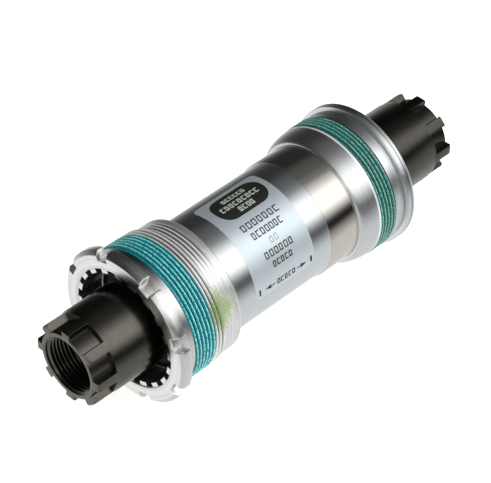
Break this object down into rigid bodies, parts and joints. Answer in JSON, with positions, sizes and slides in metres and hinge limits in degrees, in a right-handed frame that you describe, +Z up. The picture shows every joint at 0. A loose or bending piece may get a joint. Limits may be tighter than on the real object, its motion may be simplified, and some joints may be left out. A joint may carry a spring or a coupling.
{
  "type": "bottom bracket",
  "caption": "Sealed bicycle bottom bracket with a hollow splined spindle, a fixed drive-side cup, a slip-on threaded left adapter and banded threads.",
  "frame": {"origin": "on the spindle's axis at its mid-length", "axes": "+Y along the spindle's axis towards the left (non-drive) end, +Z up, drive-side cup at -Y"},
  "size_m": [0.04, 0.1186, 0.04],
  "materials": {
    "black_oxide_steel": "satin black oxide",
    "satin_steel": "satin",
    "polished_steel": "polished",
    "zinc_plated_steel": "bright zinc, turned",
    "machined_aluminium": "machined",
    "thread_sealant": "dried film",
    "label_film": "printed silver film",
    "bearing_steel": "ground",
    "cage_nylon": "moulded",
    "seal_rubber": "moulded",
    "spacer_plastic": "moulded"
  },
  "bodies": {
    "cartridge": {"cartridge_tube": "satin_steel", "bearing_housing": "polished_steel", "drive_cup": "zinc_plated_steel", "drive_sealant_band": "thread_sealant", "label": "label_film", "race_spacer": "spacer_plastic", "housing_o_ring": "seal_rubber", "left_ball_race": "bearing_steel", "drive_ball_race": "bearing_steel", "left_snap_ring": "bearing_steel", "drive_snap_ring": "bearing_steel", "needle_race": "bearing_steel", "left_seal_shell": "zinc_plated_steel", "drive_seal_shell": "zinc_plated_steel", "left_seal_lip": "seal_rubber", "drive_seal_lip": "seal_rubber"},
    "spindle": {"spindle": "black_oxide_steel"},
    "left_ball_set": {"left_balls": "bearing_steel", "left_ball_cage": "cage_nylon"},
    "drive_ball_set": {"drive_balls": "bearing_steel", "drive_ball_cage": "cage_nylon"},
    "needle_set": {"needle_rollers": "bearing_steel", "needle_cage": "cage_nylon"},
    "left_adapter": {"left_adapter": "machined_aluminium", "left_sealant_band": "thread_sealant"}
  },
  "joints": [
    {"name": "spindle_spin", "type": "hinge", "parent": "cartridge", "child": "spindle", "pos_m": [0, 0, 0], "axis": [0, 1, 0], "continuous": true},
    {"name": "left_ball_orbit", "type": "hinge", "parent": "cartridge", "child": "left_ball_set", "pos_m": [0, 0.0305, 0], "axis": [0, 1, 0], "continuous": true},
    {"name": "drive_ball_orbit", "type": "hinge", "parent": "cartridge", "child": "drive_ball_set", "pos_m": [0, -0.0185, 0], "axis": [0, 1, 0], "continuous": true},
    {"name": "needle_orbit", "type": "hinge", "parent": "cartridge", "child": "needle_set", "pos_m": [0, -0.0255, 0], "axis": [0, 1, 0], "continuous": true},
    {"name": "adapter_pull_off", "type": "slide", "parent": "cartridge", "child": "left_adapter", "axis": [0, 1, 0], "range_m": [0, 0.045]}
  ],
  "couplings": [
    {"joint": "left_ball_orbit", "follows": "spindle_spin", "ratio": 0.4319},
    {"joint": "drive_ball_orbit", "follows": "spindle_spin", "ratio": 0.4319},
    {"joint": "needle_orbit", "follows": "spindle_spin", "ratio": 0.4508}
  ]
}
